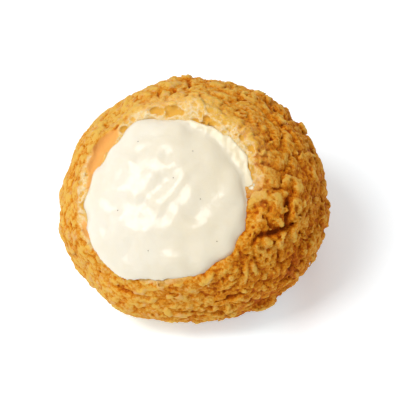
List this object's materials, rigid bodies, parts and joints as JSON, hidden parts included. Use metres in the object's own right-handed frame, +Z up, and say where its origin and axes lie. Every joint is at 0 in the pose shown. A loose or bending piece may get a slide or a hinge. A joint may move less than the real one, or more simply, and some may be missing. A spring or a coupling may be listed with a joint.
{
  "type": "cream puff",
  "caption": "Round baked choux bun with a cracked cookie crust, its near shoulder sliced off to show the smooth cream filling.",
  "frame": {"origin": "middle of the flat base, level with the surface the puff rests on", "axes": "+Z up; the slice that shows the cream looks towards -Y, a little towards -X, and up"},
  "size_m": [0.079, 0.0753, 0.0569],
  "materials": {
    "crust": "golden brown baked cookie crust, dry, rough and cracked",
    "cream": "ivory custard cream, smooth and glossy"
  },
  "bodies": {
    "root": {"pastry_shell": "crust", "cream_filling": "cream"}
  },
  "joints": []
}
